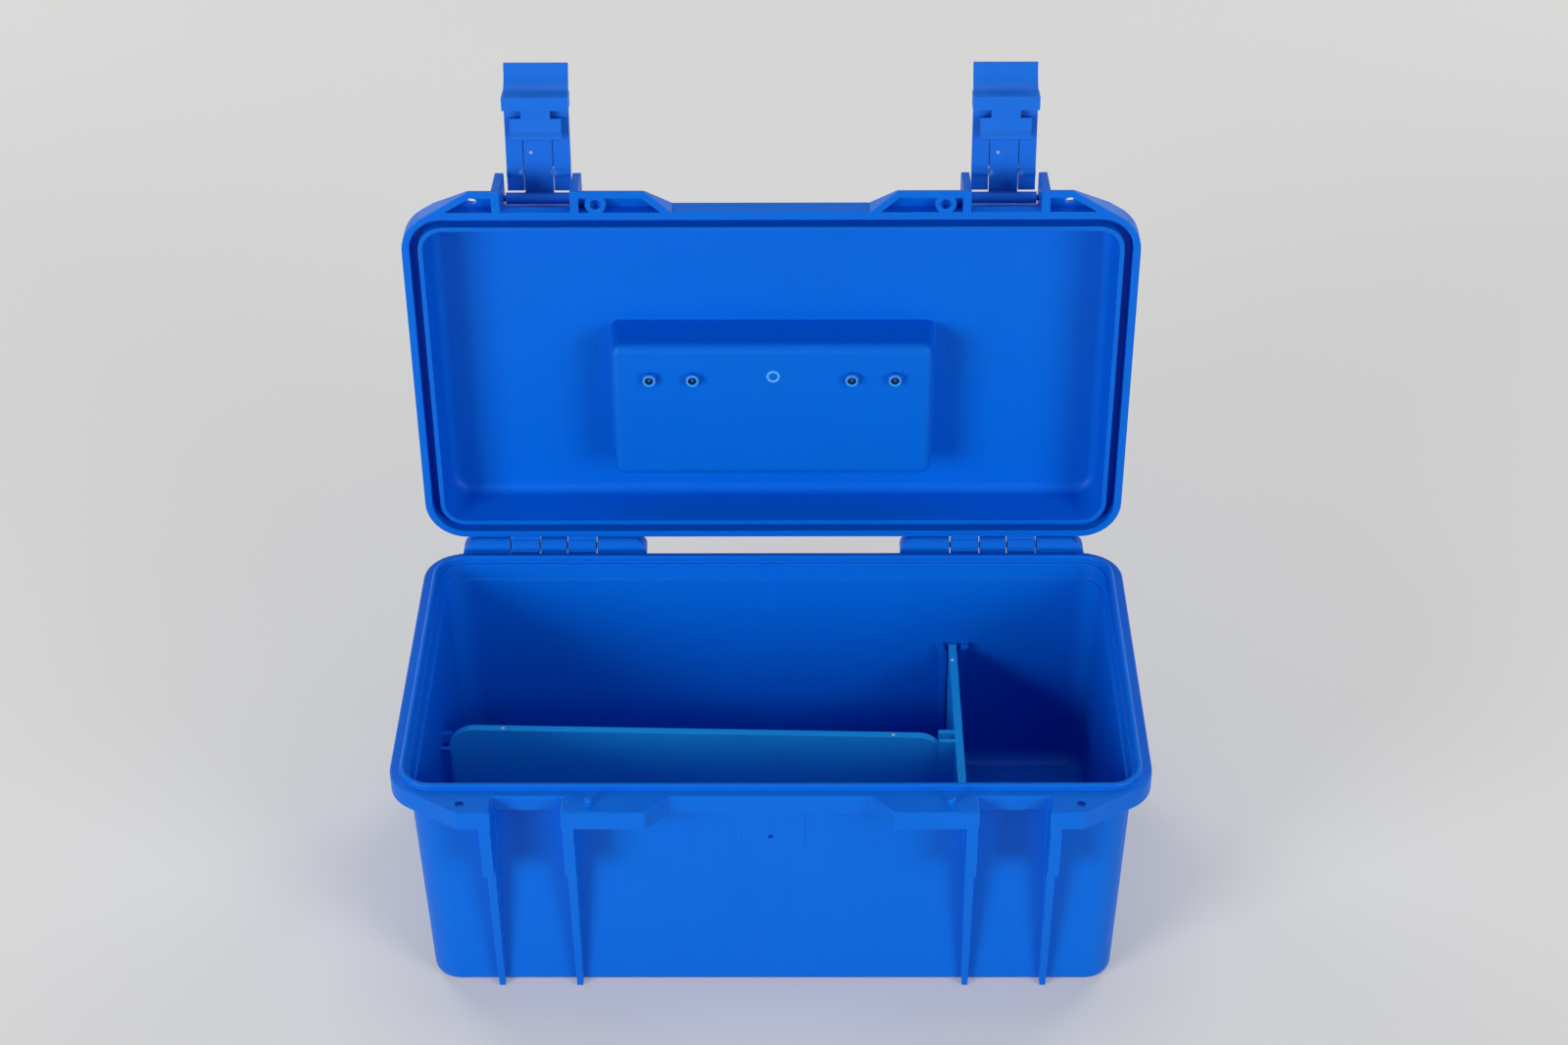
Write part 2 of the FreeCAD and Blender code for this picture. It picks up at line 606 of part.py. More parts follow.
def lid_knuckles():
    """On the right: two knuckles between the base's, each with a heel that stops the open lid."""
    knuckles = []
    half = KNUCKLE_LENGTH / 2 + KNUCKLE_GAP
    skirt_back = DEPTH / 2 - LIP_OVERLAP
    web = [(skirt_back, LID_Z), (DEPTH / 2 + KNUCKLE_WEB_GAP, LID_Z),
           (HINGE_Y, HINGE_Z - KNUCKLE_RADIUS + KNUCKLE_WEB_GAP), (HINGE_Y + KNUCKLE_RADIUS, HINGE_Z),
           (skirt_back, RIM_Z + LID_RIM_HEIGHT - LID_RIM_ROUND)]
    heel_reach = HINGE_BACK - STOP_CLEARANCE
    heel = box(0, LID_KNUCKLE_LENGTH, HINGE_Y - heel_reach, HINGE_Y,
               HINGE_Z - KNUCKLE_RADIUS + 0.6, HINGE_Z)
    heel.rotate(HINGE, X_AXIS, OPEN_ANGLE)
    for start in (HINGE_X + half, HINGE_X - half - LID_KNUCKLE_LENGTH):
        barrel = rod(KNUCKLE_RADIUS, start, start + LID_KNUCKLE_LENGTH, HINGE_Y, HINGE_Z)
        arm = prism(web, side(start), V(LID_KNUCKLE_LENGTH, 0, 0))
        foot = heel.copy()
        foot.translate(V(start, 0, 0))
        knuckles.append(barrel.multiFuse([arm, foot]))
    return knuckles


def recess_block(shrink, z0, z1):
    """Tapered block of the handle recess, shrunk by a wall."""
    share = RECESS_TAPER / (LID_HEIGHT - LID_TOP - RECESS_RISE)
    wires = []
    for z in (z0, z1):
        spread = share * (z - RIM_Z - RECESS_RISE) - shrink
        wires.append(rounded_rectangle(RECESS_LENGTH / 2 + spread, RECESS_WIDTH / 2 + spread,
                                       RECESS_CORNER - shrink, z, RECESS_MIDDLE_Y))
    return round_level(Part.makeLoft(wires, True, True), z0, RECESS_CORNER - shrink - 0.5)


def handle_places():
    """X places of the two handle pivots and of the four screws."""
    pivots = [-BOSS_PAIR_X, BOSS_PAIR_X]
    screws = [x + s * BOSS_SPACING / 2 for x in pivots for s in (-1, 1)]
    return pivots, screws


def lid_shell():
    """Shallow lid: grooved rim, sloped latch pads with ears, hinge knuckles and the handle recess."""
    top_z = RIM_Z + LID_HEIGHT
    ceiling_z = top_z - LID_TOP
    cap = taper((LID_INSET, BODY_CORNER, LID_Z + LID_RIM_HEIGHT / 2),
                (LID_INSET + LID_TAPER, BODY_CORNER, top_z))
    cap = round_level(cap, top_z, LID_TOP_ROUND)
    rim, pockets, ring, holes = lid_pads()
    rim = round_level(rim, LID_Z, LID_LIP_ROUND)
    notch = box(LATCH_X - EAR_GAP / 2, LATCH_X + EAR_GAP / 2, FRONT_Y - 1.0, FRONT_Y + LID_NOTCH_INSET,
                RIM_Z + LID_NOTCH_RISE, RIM_Z + LID_RIM_HEIGHT + 1.0)
    rim = rim.cut(Part.makeCompound(both_sides(pockets + [notch])))
    groove_outer = TONGUE_INSET - GROOVE_OUTER_CLEARANCE
    groove_inner = LEDGE_INSET + GROOVE_INNER_CLEARANCE
    groove_z = RIM_Z + GROOVE_RISE
    groove = block(groove_outer, RIM_Z - 1.0, groove_z)
    groove = groove.cut(block(groove_inner, RIM_Z - 2.0, groove_z + 1.0))
    lip_inset = groove_inner + LID_LIP
    cavity_corner = RIM_CORNER - lip_inset
    cavity = taper((lip_inset, cavity_corner, RIM_Z - 1.0),
                   (lip_inset + LID_CAVITY_TAPER, cavity_corner, ceiling_z))
    cavity = round_level(cavity, ceiling_z, LID_CEILING_ROUND)
    cavity = cavity.cut(recess_block(0.0, RIM_Z + RECESS_RISE, top_z))
    shell = rim.multiFuse([cap] + both_sides([ring] + lid_ears() + lid_knuckles()))
    recess = recess_block(RECESS_WALL, RECESS_FLOOR_Z, top_z + 1.0)
    shell = shell.cut(Part.makeCompound([cavity, groove, recess] + both_sides(holes)))
    pivots, screws = handle_places()
    boss_z = RIM_Z + RECESS_RISE - BOSS_HEIGHT
    bosses = [post(BOSS_RADIUS, x, 0, boss_z, RECESS_FLOOR_Z - RECESS_WALL / 2) for x in screws]
    saddles = []
    saddle_top = HANDLE_Z - HANDLE_TRUNNION_RADIUS - HANDLE_FIT
    for x in pivots:
        for s in (-1, 1):
            cheek = x + s * (HANDLE_SLOT + BRACKET_CHEEK) / 2
            half = BRACKET_CHEEK / 2
            saddles.append(box(cheek - half, cheek + half, -SADDLE_WIDTH / 2, SADDLE_WIDTH / 2,
                               RECESS_FLOOR_Z - RECESS_WALL / 2, saddle_top))
    shell = shell.multiFuse(bosses + saddles)
    pilots = [post(SCREW_RADIUS + SCREW_FIT, x, 0, boss_z - 1.0, RECESS_FLOOR_Z + 1.0) for x in screws]
    shell = shell.cut(Part.makeCompound(pilots))
    return single(shell.cut(hinge_bores(HINGE_PIN_RADIUS + HINGE_RUNNING_FIT, OUTER_LUG_LENGTH)))


def hinge_pin():
    """Pin through five knuckles of the right hinge."""
    x0 = HINGE_X - HINGE_PIN_LENGTH / 2
    return rod(HINGE_PIN_RADIUS, x0, x0 + HINGE_PIN_LENGTH, HINGE_Y, HINGE_Z)


def latch_pin():
    """Pin through the ears, about the latch's middle."""
    half = EAR_GAP / 2 + EAR_WALL
    return rod(LATCH_PIN_RADIUS, -half, half, PIN_Y, PIN_Z)


def latch_side(reach, drop):
    """Side-view point of the closed latch: reach outwards and drop downwards from its pin."""
    return PIN_Y - reach, PIN_Z - drop


def latch_profile(points, half_width):
    """Closed-latch profile of (reach, drop, radius) points, made as wide as the latch piece."""
    corners = [latch_side(p[0], p[1]) + tuple(p[2:]) for p in points]
    return prism(corners, side(-half_width), V(2 * half_width, 0, 0))


def latch_link():
    """Barrel on the pin, a crank over the rim, a strip down to its end, and two trunnions."""
    half = BARREL_LENGTH / 2
    barrel = rod(BARREL_RADIUS, -half, half, PIN_Y, PIN_Z)
    outer = STRIP_OFFSET + STRIP_THICKNESS
    crank = latch_profile([(0, -CRANK_HEIGHT / 2), (outer, -CRANK_HEIGHT / 2, CRANK_HEIGHT / 2),
                           (outer, CRANK_HEIGHT / 2), (0, CRANK_HEIGHT / 2)], STRIP_WIDTH / 2)
    strip = latch_profile([(STRIP_OFFSET, 0), (outer, 0), (outer, STRIP_END), (STRIP_OFFSET, STRIP_END)],
                          STRIP_WIDTH / 2)
    pin_y, pin_z = latch_side(STRIP_OFFSET + STRIP_THICKNESS / 2, TRUNNION_OFFSET)
    reach = STRIP_WIDTH / 2 + TRUNNION_LENGTH
    trunnions = rod(TRUNNION_RADIUS, -reach, reach, pin_y, pin_z)
    link = barrel.multiFuse([crank, strip, trunnions])
    bore = rod(LATCH_PIN_RADIUS + LATCH_RUNNING_FIT, -half - 1, half + 1, PIN_Y, PIN_Z)
    return single(link.cut(bore))


def latch_tongue():
    """T-shaped hook on the lever: a leaning neck, a cross bar and the bead that goes under the catch."""
    outer = LATCH_PIN_INSET - TONGUE_FACE
    inner = outer - TONGUE_PLATE
    bead = inner - TONGUE_BEAD_DEPTH
    bead_end = TONGUE_TOP + TONGUE_BEAD_LENGTH
    root = STEP_START + TONGUE_ROOT
    lean = TONGUE_LEAN / (root - TONGUE_TOP)
    bar_shift = lean * (TONGUE_BAR_END - TONGUE_TOP)
    bead_shift = lean * TONGUE_BEAD_LENGTH
    bar_half = TONGUE_BAR_WIDTH / 2
    bar = latch_profile([(outer, TONGUE_TOP), (outer + bar_shift, TONGUE_BAR_END),
                         (inner + bar_shift, TONGUE_BAR_END), (inner, TONGUE_TOP)], bar_half)
    neck = latch_profile([(outer + bead_shift, bead_end), (outer + TONGUE_LEAN, root),
                          (inner + TONGUE_LEAN, root), (inner + bead_shift, bead_end)],
                         TONGUE_NECK_WIDTH / 2)
    hook = latch_profile([(outer, TONGUE_TOP), (outer + bead_shift, bead_end), (inner + bead_shift, bead_end),
                          (bead, (TONGUE_TOP + bead_end) / 2, TONGUE_BEAD_ROUND),
                          (bead, TONGUE_TOP, TONGUE_BEAD_ROUND)], bar_half)
    return [bar, neck, hook]


def latch_lever():
    """Outer skin and side panels over the link's strip, a hollow step, a scooped grip and the tongue."""
    half = LEVER_WIDTH / 2
    slot_half = STRIP_WIDTH / 2 + STRIP_SIDE_GAP
    skin_inner = STRIP_OFFSET + STRIP_THICKNESS + SKIN_CLEARANCE
    skin_outer = skin_inner + SKIN_THICKNESS
    panel_face = skin_outer - PANEL_STEP
    step_end = STEP_START + STEP_LENGTH
    body = latch_profile([(skin_inner, SKIN_START), (skin_outer, SKIN_START, GRIP_ROUND),
                          (skin_outer, STEP_START, GRIP_BEND),
                          (GRIP_REACH + GRIP_THICKNESS, GRIP_END, GRIP_ROUND),
                          (GRIP_REACH, GRIP_END, GRIP_ROUND), (SCOOP_REACH, SCOOP_DROP, SCOOP_ROUND),
                          (STEP_FACE, step_end, GRIP_ROUND), (STEP_FACE, STEP_START),
                          (skin_inner, STEP_START)], half)
    step = latch_profile([(STEP_FACE, STEP_START), (panel_face, STEP_START), (panel_face, step_end),
                          (STEP_FACE, step_end, GRIP_ROUND)], STEP_WIDTH / 2)
    chamber = (LEVER_WIDTH - 3 * GRIP_THICKNESS) / 2
    floor = STEP_FACE + GRIP_THICKNESS
    core = latch_profile([(floor, STEP_START - GRIP_THICKNESS), (skin_inner, STEP_START - GRIP_THICKNESS),
                          (skin_inner, step_end - GRIP_THICKNESS, GRIP_ROUND),
                          (floor, step_end - GRIP_THICKNESS, GRIP_ROUND)], chamber / 2)
    cores = both_sides([moved(core, (chamber + GRIP_THICKNESS) / 2)])
    panel = latch_profile([(STRIP_OFFSET, LEVER_START, GRIP_ROUND), (panel_face, LEVER_START, PANEL_ROUND),
                           (panel_face, STEP_START), (STRIP_OFFSET, STEP_START)], half)
    hub_y, hub_z = latch_side(STRIP_OFFSET + STRIP_THICKNESS / 2, TRUNNION_OFFSET)
    bore_radius = TRUNNION_RADIUS + TRUNNION_FIT
    hub = rod(bore_radius + LEVER_HUB_WALL, -half, half, hub_y, hub_z)
    slot = latch_profile([(-BARREL_RADIUS, 0), (skin_inner, 0), (skin_inner, STEP_START),
                          (-BARREL_RADIUS, STEP_START)], slot_half)
    open_end = latch_profile([(-BARREL_RADIUS, 0), (skin_outer + 1.0, 0), (skin_outer + 1.0, SKIN_START),
                              (-BARREL_RADIUS, SKIN_START)], slot_half)
    lever = body.fuse(step).cut(Part.makeCompound(cores)).multiFuse([panel, hub])
    lever = lever.cut(Part.makeCompound([slot, open_end])).multiFuse(latch_tongue())
    bore_half = STRIP_WIDTH / 2 + TRUNNION_LENGTH + TRUNNION_END_GAP
    return single(lever.cut(rod(bore_radius, -bore_half, bore_half, hub_y, hub_z)))


def carry_handle():
    """U-shaped handle folded into its recess, with a hub and two trunnions at each arm's end."""
    half = BOSS_PAIR_X + HANDLE_ARM_WIDTH / 2
    grip_back = HANDLE_ARM + HANDLE_GRIP_WIDTH / 2
    inner = BOSS_PAIR_X - HANDLE_ARM_WIDTH / 2
    grip_front = HANDLE_ARM - HANDLE_GRIP_WIDTH / 2
    corners = [(-half, 0), (-inner, 0), (-inner, grip_front, HANDLE_INNER_CORNER),
               (inner, grip_front, HANDLE_INNER_CORNER), (inner, 0), (half, 0),
               (half, grip_back, HANDLE_CORNER), (-half, grip_back, HANDLE_CORNER)]
    low = HANDLE_Z - HANDLE_THICKNESS / 2
    bow = prism(corners, plan(low), V(0, 0, HANDLE_THICKNESS))
    level = [e for e in bow.Edges if e.Vertexes[0].Z == e.Vertexes[-1].Z]
    bow = bow.makeFillet(HANDLE_EDGE_ROUND, [e for e in level if max(v.Y for v in e.Vertexes) > 1.0])
    pieces = []
    reach = HANDLE_SLOT / 2 + BRACKET_CHEEK
    for x in (-BOSS_PAIR_X, BOSS_PAIR_X):
        arm = HANDLE_ARM_WIDTH / 2
        pieces.append(rod(HANDLE_THICKNESS / 2, x - arm, x + arm, 0, HANDLE_Z))
        pieces.append(rod(HANDLE_TRUNNION_RADIUS, x - reach, x + reach, 0, HANDLE_Z))
    return single(bow.multiFuse(pieces))


def handle_bracket():
    """Saddle over one pair of trunnions: two cheeks on a foot plate, open where the arm swings."""
    foot_top = RECESS_FLOOR_Z + BRACKET_FOOT
    half_cheeks = HANDLE_SLOT / 2 + BRACKET_CHEEK
    foot_half = BOSS_SPACING / 2 + BRACKET_FOOT_END
    foot = Part.Face(rounded_rectangle(foot_half, BRACKET_FOOT_WIDTH / 2, BRACKET_FOOT_ROUND, RECESS_FLOOR_Z))
    foot = foot.extrude(V(0, 0, BRACKET_FOOT))
    arch = box(-half_cheeks, half_cheeks, -BRACKET_RADIUS, BRACKET_RADIUS, RECESS_FLOOR_Z, HANDLE_Z)
    arch = arch.fuse(rod(BRACKET_RADIUS, -half_cheeks, half_cheeks, 0, HANDLE_Z))
    slot = box(-HANDLE_SLOT / 2, HANDLE_SLOT / 2, -BRACKET_FOOT_WIDTH, BRACKET_FOOT_WIDTH,
               RECESS_FLOOR_Z - 1.0, HANDLE_Z + BRACKET_RADIUS + 1.0)
    cheeks = arch.cut(slot)
    opening = HANDLE_TRUNNION_RADIUS + HANDLE_FIT
    bore = rod(opening, -foot_half, foot_half, 0, HANDLE_Z)
    way_in = box(-half_cheeks, half_cheeks, -opening, opening, RECESS_FLOOR_Z - 1.0, HANDLE_Z)
    well = box(-HANDLE_SLOT / 2, HANDLE_SLOT / 2, BRACKET_BRIDGE - BRACKET_FOOT_WIDTH / 2, BRACKET_FOOT_WIDTH,
               RECESS_FLOOR_Z - 1.0, foot_top + 1.0)
    screws = [post(SCREW_RADIUS + SCREW_FIT, s * BOSS_SPACING / 2, 0, RECESS_FLOOR_Z - 1.0, foot_top + 1.0)
              for s in (-1, 1)]
    bracket = foot.cut(well).fuse(cheeks)
    return single(bracket.cut(Part.makeCompound([bore, way_in] + screws)))


def handle_screw():
    """Screw through a bracket's foot into a boss of the lid."""
    seat = RECESS_FLOOR_Z + BRACKET_FOOT
    tip = RIM_Z + RECESS_RISE - BOSS_HEIGHT + SCREW_TIP
    shank = post(SCREW_RADIUS, 0, 0, tip, seat)
    head = post(SCREW_HEAD_RADIUS, 0, 0, seat, seat + SCREW_HEAD_HEIGHT)
    return single(round_level(head, seat + SCREW_HEAD_HEIGHT, 1.2).fuse(shank))


def long_divider():
    """Loose plate along the case: its right end stands in the cross divider's slot, its left rides high."""
    right = CROSS_X - CROSS_THICKNESS / 2 - SLOT_END_GAP
    left = -(WIDTH / 2 - BASE_INSET - WALL - BASE_TAPER) + DIVIDER_END_GAP
    top = RIM_Z - DIVIDER_DROP
    plate = prism([(left, FLOOR, DIVIDER_CORNER), (right, FLOOR, 2.0), (right, top, DIVIDER_CORNER),
                   (left, top, DIVIDER_CORNER)], front(DIVIDER_Y - DIVIDER_THICKNESS / 2),
                  V(0, DIVIDER_THICKNESS, 0))
    plate.rotate(V(right, DIVIDER_Y, top), V(0, 1, 0), DIVIDER_TILT)
    return plate


def cross_divider():
    """Loose plate across the case, with two lips that hold the long divider's end."""
    top = RIM_Z - CROSS_DROP
    half_top = DEPTH / 2 - BASE_INSET - WALL - CROSS_END_GAP
    taper_at_top = BASE_TAPER * (CROSS_DROP - SHOULDER_DEPTH) / (RIM_Z - SHOULDER_DEPTH)
    half_foot = half_top - BASE_TAPER
    corners = [(-half_foot, FLOOR, FLOOR_ROUND + 1.0), (half_foot, FLOOR, FLOOR_ROUND + 1.0),
               (half_top - taper_at_top, top, 2.0), (-half_top + taper_at_top, top, 2.0)]
    face_x = CROSS_X - CROSS_THICKNESS / 2
    plate = prism(corners, side(face_x), V(CROSS_THICKNESS, 0, 0))
    lips = []
    for s in (-1, 1):
        near = DIVIDER_Y + s * SLOT_WIDTH / 2
        lips.append(box(face_x - SLOT_DEPTH, face_x, near, near + s * SLOT_LIP, FLOOR, top))
    return single(plate.multiFuse(lips))


def opened(shape):
    """Turn a closed piece of the lid open about the hinge."""
    shape = shape.copy()
    shape.rotate(HINGE, X_AXIS, -OPEN_ANGLE)
    return shape


def latch_opened(shape, x):
    """Place a closed latch piece at its latch, swung out and then opened with the lid."""
    shape = shape.copy()
    shape.rotate(LATCH_PIN, X_AXIS, -LATCH_SWING)
    shape.translate(V(x, 0, 0))
    return opened(shape)


def all_pieces():
    """Every piece under its node's name, in its place with the lid open."""
    pieces = {"base_shell": base_shell(), "lid_shell": opened(lid_shell()),
              "long_divider": long_divider(), "cross_divider": cross_divider(),
              "carry_handle": opened(carry_handle())}
    pin = hinge_pin()
    axle = latch_pin()
    link = latch_link()
    lever = latch_lever()
    bracket = handle_bracket()
    for name, s in (("left", -1), ("right", 1)):
        pieces["hinge_pin_" + name] = pin if s > 0 else pin.mirror(V(0, 0, 0), X_AXIS)
        pieces["latch_pin_" + name] = opened(moved(axle, s * LATCH_X))
        pieces["latch_link_" + name] = latch_opened(link, s * LATCH_X)
        pieces["latch_lever_" + name] = latch_opened(lever, s * LATCH_X)
        pieces["handle_bracket_" + name] = opened(moved(bracket, s * BOSS_PAIR_X))
    screw = handle_screw()
    pieces["handle_screws"] = Part.makeCompound([opened(moved(screw, x)) for x in handle_places()[1]])
    return pieces


def main():
    os.makedirs("parts", exist_ok=True)
    for name, shape in all_pieces().items():
        print(name, shape.isValid(), len(shape.Solids), round(shape.Volume, 1), len(shape.Faces))
        shape.exportStep("parts/" + name + ".step")


main()
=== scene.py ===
"""Plastic tool case: finishes, moulding marks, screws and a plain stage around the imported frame."""
import math

import bmesh
import bpy
from mathutils import Matrix, Vector


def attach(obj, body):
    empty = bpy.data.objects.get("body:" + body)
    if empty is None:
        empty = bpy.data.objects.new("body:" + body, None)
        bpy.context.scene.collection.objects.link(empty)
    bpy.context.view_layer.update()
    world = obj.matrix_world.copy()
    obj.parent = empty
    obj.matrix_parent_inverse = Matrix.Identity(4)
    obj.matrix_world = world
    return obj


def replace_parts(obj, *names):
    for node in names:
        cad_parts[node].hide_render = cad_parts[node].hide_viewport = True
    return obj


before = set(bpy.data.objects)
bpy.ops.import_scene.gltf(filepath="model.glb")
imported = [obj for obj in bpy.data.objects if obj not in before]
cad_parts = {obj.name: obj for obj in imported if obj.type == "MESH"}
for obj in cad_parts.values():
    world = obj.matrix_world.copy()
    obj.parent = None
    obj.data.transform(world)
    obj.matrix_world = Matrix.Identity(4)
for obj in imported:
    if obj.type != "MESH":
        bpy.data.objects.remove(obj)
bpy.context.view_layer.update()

bl_info = {
    "name": "Plastic Tool Case",
    "version": (1, 0, 0),
    "blender": (4, 5, 0),
    "location": "View3D > Sidebar > Tool Case",
    "description": "Finishes, moulding marks and screws of a hinged plastic tool case",
    "category": "Object",
}

MM = 0.001

# What sits on the lid is placed as on the closed case, in millimetres, and turned open about the
# hinge, because the case is open at rest.
HINGE = Vector((0, 107.05, 140.0))
OPEN_ANGLE = math.radians(90.65)
CLOSED_TO_OPEN = (Matrix.Translation(HINGE) @ Matrix.Rotation(-OPEN_ANGLE, 4, "X")
                  @ Matrix.Translation(-HINGE))

# Heights on the closed case: the inner faces of the lid and of its recess, the lower ends of the
# screw bosses, the upper faces of the brackets' feet and the face of the lid's lip.
LID_FLOOR = 168.0
RECESS_FLOOR = 142.8
BOSS_END = 139.8
FOOT_TOP = 148.3
LIP_FACE = 139.2

# Marks that the mould leaves, as X and Y on the closed case. The ejectors' are on both sides of the
# lid. Each bead has a width and a height, and what stands on a face is sunk into it a little.
EJECTORS = ((165.3, -14.6), (100.3, -1.7), (164.7, 77.5))
EJECTOR_BEAD = (0.35, 0.12)
LIP_EJECTORS = ((103.5, 99.9), (136.3, 99.9))
LIP_EJECTOR_RADIUS = 1.35
LIP_EJECTOR_BEAD = (0.4, 0.12)
LID_GATE = (0.6, -0.5)
LID_GATE_BEAD = (1.3, 0.5)
GATE_CIRCLE_RADIUS = 8.5
GATE_CIRCLE_BEAD = (0.3, 0.1)
SUNK = 0.02

# The dividers' gates are found on their upper edges, by a line down from above.
DIVIDER_GATES = (("long_divider", -143.6, 6.7), ("long_divider", 64.4, 6.7),
                 ("cross_divider", 98.9, 71.8))
ABOVE_DIVIDERS = 150.0
NUB_HEIGHT = 0.35
NUB_SUNK = 0.15

# Where the latches' plastic is stretched pale beside the strip that bends, and where it was fed
# into the mould, as X and Z on the upright latch, with the Y of the face and the spot's radius. A
# spot is even in its core and fades to its rim.
LATCH_STRESS = ((-128.7, 355.4), (-112.0, 355.1), (113.2, 354.3), (129.0, 354.3))
LATCH_GATES = ((-123.6, 365.8), (116.8, 365.4))
STRESS_FACE, STRESS_RADIUS = 139.3, 2.2
GATE_FACE, GATE_SPOT_RADIUS = 140.8, 1.2
SPOT_CORE = 0.35
SPOT_STRENGTH = 0.55

# The screws of the handle's brackets, in millimetres. A crest's flanks reach up and down from its
# level, the shank is free of thread near its point, and the tip comes out of the boss.
SCREW_X = (-65.2, -42.3, 42.3, 65.2)
SCREW_HEAD_HEIGHT = 2.2
SHANK_RADIUS = 1.2
THREAD_RADIUS = 1.45
THREAD_FLANK = 0.3
THREAD_START = 0.8
THREAD_FREE = 2.4
TIP_OUT = 0.6
TIP_TAPER = 1.2
RECESS_WING = (0.8, 0.55, 0.5)
WING_RADIUS = 1.75
WING_DEPTH = 0.42

# The raised mouth of a screw boss: radii of its wall and its bore, its height, and the pilot hole.
MOUTH_RADIUS = 3.4
BORE_RADIUS = 2.3
MOUTH_HEIGHT = 1.0
PILOT_RADIUS = 1.3

# Sizes of the finishes' patterns in millimetres. Spark-eroded grain is about 0.1 mm wide, and drawn
# lines are 0.02 mm: both are too fine to show, so they are drawn as coarse as they need to be. The
# scuffs lie askew, by angles in radians.
FLOW_SIZE = 60
WEAR_SIZE = 14
DRAG_SIZE = (5, 5, 150)
SCUFF_SIZE = (25, 10 / 9, 6.25)
DRAWN_SIZE = (50 / 3, 0.4, 0.4)
CLOUD_SIZE = 3
SCUFF_TURN = (0.3, 0.2, 0.5)
GRAIN_DEPTH = 0.05
SCUFF_DEPTH = 0.03
DRAWN_DEPTH = 0.02

# Spans of a noise's values: most of them, those that wear the gloss, and the rare ones of scuffs.
NOISE_SPAN = {"From Min": 0.3, "From Max": 0.7}
WEAR_SPAN = {"From Min": 0.3, "From Max": 0.75}
SCUFF_SPAN = {"From Min": 0.70, "From Max": 0.78}

# How far the grain lightens and darkens the plastic, and wear polishes and dulls it.
SPECKLE = 0.03
POLISH, DULLNESS = 0.05, 0.07

# Sockets of a Mix node that mixes colours.
MIX_A, MIX_B, MIX_RESULT = 6, 7, 2

# Polypropylene is waxy, so it shines less than its refraction gives. Its corners get a painted
# highlight, a paler blue mixed into the colour, from where the rounded normal leaves the flat one to
# where it is farthest from it, as cosines.
PLASTIC_IOR = 1.49
PLASTIC_SHEEN = 0.14
EDGE_HIGHLIGHT_COLOUR = "#3C98F6"
EDGE_HIGHLIGHT = 0.65
EDGE_START, EDGE_FULL = 0.99, 0.84

# Edges sharper than this stay crisp on the pieces that are made here.
SHARP_ANGLE = math.radians(35)

# The pale paper sweep. For the camera it is lifted a little, as a bright sweep is, and fades to the
# backdrop's colour between two distances in metres, so that no horizon shows. Its shadows stay.
PAPER = "#CCCCCB"
BACKDROP = "#D0D0CF"
PAPER_GLOW = 0.16
FADE_START, FADE_END = 1.2, 3.2

# Each softbox: name, place, width in metres, power in watts. All aim at the middle of the case.
AIM = Vector((0, 0, 0.2))
SOFTBOXES = (
    ("left_softbox", (-1.578, -1.578, 0.756), 1.0, 35),
    ("right_softbox", (1.578, -1.578, 0.756), 1.0, 22),
    ("front_softbox", (1.282, -1.282, 1.616), 1.3, 5),
    ("top_softbox", (0, 0.399, 2.465), 1.3, 13),
    ("back_left_softbox", (-1.34, 1.597, 1.172), 1.0, 15),
    ("back_right_softbox", (1.34, 1.597, 1.172), 1.0, 15),
)
WORLD_FILL = 0.05

# The camera, as solved from the case's own parallel and square edges.
CAMERA_PLACE = (0.0155321, -1.1476635, 1.0599785)
CAMERA_ACROSS = Vector((0.99998021, 0.00440139, -0.00449417))
CAMERA_UP = Vector((0.00107077, 0.5849158, 0.81109331))
SENSOR_WIDTH = 36.0
CLIP = (0.05, 50.0)


def linear(hex_colour):
    """sRGB hex value as linear colour."""
    channels = [int(hex_colour[i:i + 2], 16) / 255 for i in (1, 3, 5)]
    return [c / 12.92 if c <= 0.04045 else ((c + 0.055) / 1.055) ** 2.4 for c in channels] + [1.0]


def per_metre(size):
    """Scale of a pattern from its size in millimetres."""
    return 1 / (size * MM)


def add(tree, kind, sockets=(), **settings):
    """Adds a node with its own settings, and gives its sockets a value or a link.

    Sockets is a dict by a socket's name or number.
    """
    node = tree.nodes.new("ShaderNode" + kind)
    for name, value in settings.items():
        setattr(node, name, value)
    for socket, value in dict(sockets).items():
        if isinstance(value, bpy.types.NodeSocket):
            tree.links.new(value, node.inputs[socket])
        else:
            node.inputs[socket].default_value = value
    return node


def new_material(name):
    """Empty node material and its tree."""
    material = bpy.data.materials.new(name)
    material.use_nodes = True
    material.node_tree.nodes.clear()
    return material, material.node_tree


